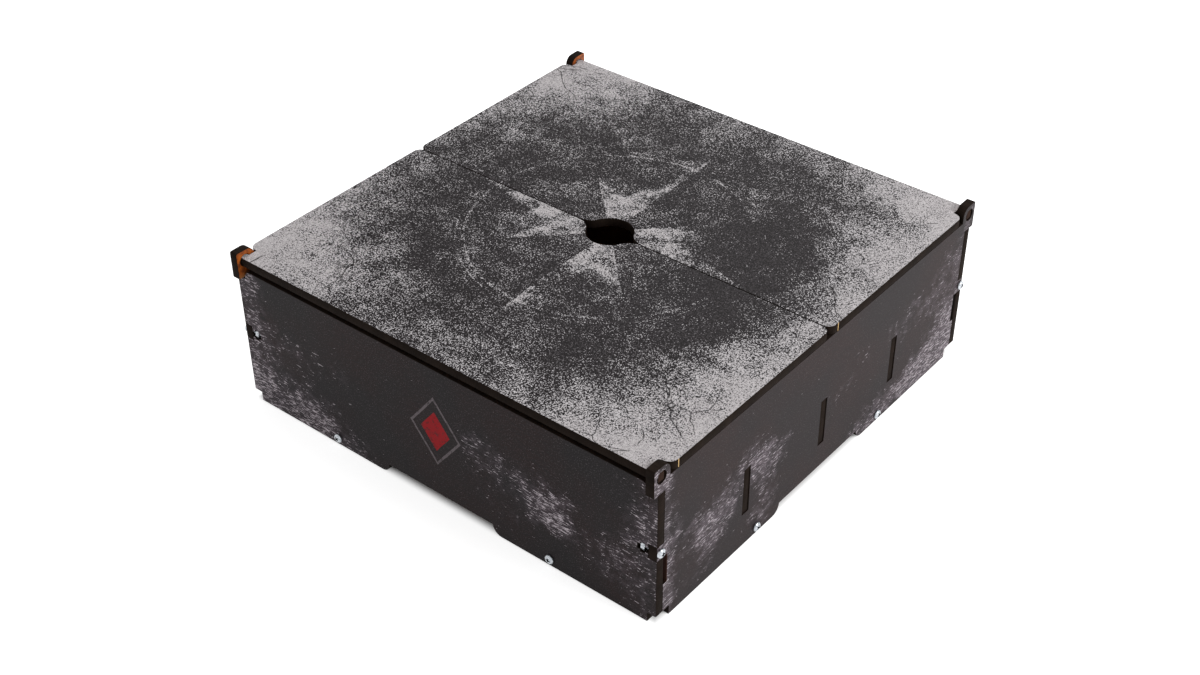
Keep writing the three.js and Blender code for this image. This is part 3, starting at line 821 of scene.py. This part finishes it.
# %% Zinc plate
def zinc_plate(name, thin, thick, smooth, dull):
    """Thin and thick are its tints, and smooth and dull its least and most roughness."""
    material, tree, shader = new_material(name)
    haze = patches(tree, in_mm(tree), 1.2, 0.3, 0.7)
    color = add(tree, "Mix", {0: haze, 6: linear(thin), 7: linear(thick)}, 2, data_type="RGBA")
    rough = add(tree, "MapRange", (haze, 0.0, 1.0, smooth, dull))
    tree.links.new(color, shader.inputs["Base Color"])
    tree.links.new(rough, shader.inputs["Roughness"])
    shader.inputs["Metallic"].default_value = 1.0
    return material


ZINC = zinc_plate("bright zinc-plated steel", "#9a9fa5", "#ccd0d4", 0.2, 0.34)
# painted shade: a dark grey zinc for the cross recess, where shade falls
SHADED_RECESS_ZINC = zinc_plate("zinc plate darkened in the recess as painted shade", "#26282b", "#45484c", 0.5, 0.7)
print("fasteners are", ZINC.name, "and", SHADED_RECESS_ZINC.name)

# %% [markdown]
# ## Screw
#
# It is an M3 screw with a pan head and a cross recess, 12 mm long under the head. Half of
# its outline, from the crown of the head to the tip, is drawn by extruding one point along
# it, and spun round the axis. The thread is drawn as rings, because its pitch of half a
# millimetre is too fine to tell from a helix. It lies along Z here, with the head upwards.

# %% Screw outline
HEAD_RADIUS = 2.8  # this and the rest in mm
HEAD_HEIGHT = 2.0
HEAD_RIM = 0.7  # straight edge below the dome
HEAD_CHAMFER = 0.12
SCREW_LENGTH = 12.0
SCREW_RADIUS = 1.5
TIP_RADIUS = 0.9
TIP_LENGTH = 0.4
THREAD_PITCH = 0.5
THREAD_DEPTH = 0.27
CREST_WIDTH = 0.06
DOME_STEPS = 6

def screw_outline():
    core = SCREW_RADIUS - THREAD_DEPTH
    points = []
    for i in range(DOME_STEPS + 1):
        angle = math.pi / 2 * (1 - i / DOME_STEPS)
        up = HEAD_RIM + (HEAD_HEIGHT - HEAD_RIM) * math.sin(angle)
        points.append((HEAD_RADIUS * math.cos(angle), up))
    points += [(HEAD_RADIUS, HEAD_CHAMFER), (HEAD_RADIUS - HEAD_CHAMFER, 0.0), (core, 0.0)]
    for i in range(int((SCREW_LENGTH - TIP_LENGTH) / THREAD_PITCH) - 1):
        crest = -THREAD_PITCH * (i + 1)
        points += [(SCREW_RADIUS, crest + side) for side in (CREST_WIDTH / 2, -CREST_WIDTH / 2)]
        points.append((core, crest - THREAD_PITCH / 2))
    points += [(core, TIP_LENGTH - SCREW_LENGTH), (TIP_RADIUS, -SCREW_LENGTH)]
    return points + [(0.0, -SCREW_LENGTH)]


print("the screw's outline has", len(screw_outline()), "points")

# %% Spin an outline
SPIN_STEPS = 24

def spun(name, outline):
    """A closed shape from a half outline, given as radius and height in millimetres."""
    points = [Vector((radius, 0, height)) * MM for radius, height in outline]
    bpy.ops.object.select_all(action="DESELECT")
    bpy.ops.mesh.primitive_plane_add(size=MM, location=(0, 0, 0))
    piece = bpy.context.object
    piece.name = name
    piece.data.materials.append(ZINC)
    bpy.ops.object.mode_set(mode="EDIT")
    bpy.ops.mesh.select_mode(type="VERT")
    bpy.ops.mesh.merge(type="CENTER")
    bpy.ops.transform.translate(value=points[0])
    for before, after in zip(points, points[1:]):
        bpy.ops.mesh.extrude_region_move(TRANSFORM_OT_translate={"value": after - before})
    bpy.ops.mesh.select_all(action="SELECT")
    bpy.ops.mesh.spin(steps=SPIN_STEPS, angle=2 * math.pi, center=(0, 0, 0), axis=(0, 0, 1))
    bpy.ops.mesh.select_all(action="SELECT")
    bpy.ops.mesh.remove_doubles(threshold=WELD)
    bpy.ops.mesh.normals_make_consistent(inside=False)
    bpy.ops.object.mode_set(mode="OBJECT")
    return piece


def combine(piece, cutter, operation):
    """Cuts or joins one piece with another, which is used up."""
    boolean = piece.modifiers.new(operation.lower(), "BOOLEAN")
    boolean.operation = operation
    boolean.solver = "EXACT"
    boolean.material_mode = "TRANSFER"
    boolean.object = cutter
    bpy.ops.object.select_all(action="DESELECT")
    piece.select_set(True)
    bpy.context.view_layer.objects.active = piece
    bpy.ops.object.modifier_apply(modifier=boolean.name)
    bpy.data.objects.remove(cutter)


screw = spun("screw_pattern", screw_outline())
print("screw", [round(c / MM, 2) for c in screw.dimensions], "mm")

# %% [markdown]
# The cross recess is cut by two bars that narrow towards the bottom, as the punch that
# pressed the real one did.

# %% Cross recess
RECESS_LENGTH = 3.1  # mm, from tip to tip
RECESS_WIDTH = 1.05
RECESS_DEPTH = 1.2
RECESS_TAPER = 0.55  # its floor over its mouth
OVERRUN = 0.2  # mm that a cutter reaches past what it cuts
METAL_ROUND = math.radians(35)  # an edge that bends less than this is shaded as a curve

def recess_bar(angle):
    bpy.ops.object.select_all(action="DESELECT")
    height = RECESS_DEPTH + OVERRUN
    middle = HEAD_HEIGHT + OVERRUN - height / 2
    bpy.ops.mesh.primitive_cube_add(size=MM, location=(0, 0, middle * MM))
    bar = bpy.context.object
    bar.data.transform(Matrix.Diagonal((RECESS_LENGTH, RECESS_WIDTH, height, 1)))
    bpy.ops.object.mode_set(mode="EDIT")
    bpy.ops.mesh.select_mode(type="FACE")
    bpy.ops.mesh.select_all(action="DESELECT")
    bpy.ops.object.mode_set(mode="OBJECT")
    for polygon in bar.data.polygons:
        polygon.select = polygon.normal.z < -FACE_LIMIT
    bpy.ops.object.mode_set(mode="EDIT")
    floor_center = (0, 0, (HEAD_HEIGHT - RECESS_DEPTH) * MM)
    bpy.ops.transform.resize(value=(RECESS_TAPER, RECESS_TAPER, 1), center_override=floor_center)
    bpy.ops.object.mode_set(mode="OBJECT")
    bar.data.transform(Matrix.Translation(bar.location))
    bar.location = (0, 0, 0)
    bar.data.transform(Matrix.Rotation(angle, 4, "Z"))
    # the recess faces get the dark zinc, as painted shade
    bar.data.materials.append(SHADED_RECESS_ZINC)
    return bar


for angle in (0, math.pi / 2):
    combine(screw, recess_bar(angle), "DIFFERENCE")
bpy.ops.object.shade_smooth_by_angle(angle=METAL_ROUND)
print("screw with its recess:", len(screw.data.polygons), "faces")

# %% [markdown]
# ## Nut
#
# A plain M3 hexagon nut, 5.5 mm across its flats. A hexagonal block is trimmed by a lens
# shape, which leaves the curved chamfers of a real nut, and drilled by a threaded core. The
# lens is turned by half a step, so that none of its lines meets a corner of the block.

# %% Nut
NUT_FLATS = 5.5  # this and the rest in mm
NUT_HEIGHT = 2.4
NUT_CHAMFER = 0.35
LENS_INSET = 0.1  # from a flat in to where the lens starts to fall
LENS_MARGIN = 0.4  # how far the lens reaches past a corner
LENS_GAP = 0.01  # between the lens and the block's end faces
BORE_RADIUS = 1.58
BORE_FLARE = 1.85  # its radius at the ends
THREAD_INSET = 0.05  # from that radius in to the root of the thread

def nut_pattern():
    corner = NUT_FLATS / 2 / math.cos(math.pi / 6)
    bpy.ops.object.select_all(action="DESELECT")
    bpy.ops.mesh.primitive_cylinder_add(vertices=6, radius=corner * MM, depth=NUT_HEIGHT * MM)
    nut = bpy.context.object
    nut.name = "nut_pattern"
    nut.data.materials.append(ZINC)
    top, flat = NUT_HEIGHT / 2, NUT_FLATS / 2 - LENS_INSET
    beyond = corner + LENS_MARGIN
    fall = (beyond - flat) / (corner - flat) * NUT_CHAMFER
    lens = [(0, top + LENS_GAP), (flat, top + LENS_GAP), (beyond, top - fall)]
    lens += [(beyond, fall - top), (flat, -top - LENS_GAP), (0, -top - LENS_GAP)]
    trim = spun("lens", lens)
    trim.data.transform(Matrix.Rotation(math.pi / SPIN_STEPS, 4, "Z"))
    combine(nut, trim, "INTERSECT")
    flare = BORE_FLARE - BORE_RADIUS
    mouth, past = BORE_FLARE + OVERRUN, top + OVERRUN
    core = [(0, past), (mouth, past), (BORE_RADIUS, top - flare)]
    for i in range(int((NUT_HEIGHT - 2 * flare) / THREAD_PITCH)):
        middle = top - flare - THREAD_PITCH * (i + 0.5)
        core += [(BORE_FLARE - THREAD_INSET, middle), (BORE_RADIUS, middle - THREAD_PITCH / 2)]
    core += [(BORE_RADIUS, flare - top), (mouth, -past), (0, -past)]
    combine(nut, spun("core", core), "DIFFERENCE")
    return nut


nut = nut_pattern()
bpy.ops.object.shade_smooth_by_angle(angle=METAL_ROUND)
print("nut", [round(c / MM, 2) for c in nut.dimensions], "mm,", len(nut.data.polygons), "faces")

# %% [markdown]
# ## Place the fasteners
#
# The box of each packed screw says where it is. Its long side is its axis, and its head is
# at the end further from the middle of the case. A nut lies on the axis of its screw, with
# two of its corners along the longer side of its own box. Every screw stops at another
# angle, as real ones do.

# %% Place the fasteners
HEAD_TURN = math.radians(37)  # from one screw to the next

def unit(index, sign=1.0):
    return Vector([sign if i == index else 0.0 for i in range(3)])


def copied(pattern, name, matrix):
    mesh = pattern.data.copy()
    mesh.name = name
    mesh.transform(matrix)
    piece = bpy.data.objects.new(name, mesh)
    bpy.context.scene.collection.objects.link(piece)
    return piece


def lay_along(axis, corner):
    """Turns Z to an axis and Y to a direction square to it."""
    return Matrix((corner.cross(axis), corner, axis)).transposed().to_4x4()


screw_names = sorted(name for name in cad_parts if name.endswith("_screw"))
for number, name in enumerate(screw_names):
    low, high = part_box(name)
    size, middle = high - low, (low + high) / 2
    long_side = max(range(3), key=lambda i: size[i])
    outward = unit(long_side, math.copysign(1.0, middle[long_side]))
    seat = middle + outward * (size[long_side] / 2 - HEAD_HEIGHT * MM)
    matrix = (Matrix.Translation(seat) @ lay_along(outward, unit(2))
              @ Matrix.Rotation(number * HEAD_TURN, 4, "Z"))
    finish_piece(copied(screw, name + "_detailed", matrix), name, "case")

    nut_name = name.replace("_screw", "_nut")
    low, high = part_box(nut_name)
    size, middle = high - low, (low + high) / 2
    widest = max((i for i in range(3) if i != long_side), key=lambda i: size[i])
    matrix = Matrix.Translation(middle) @ lay_along(outward, unit(widest))
    finish_piece(copied(nut, nut_name + "_detailed", matrix), nut_name, "case")
for pattern in (screw, nut):
    bpy.data.objects.remove(pattern)
print("placed", len(screw_names), "screws and as many nuts")
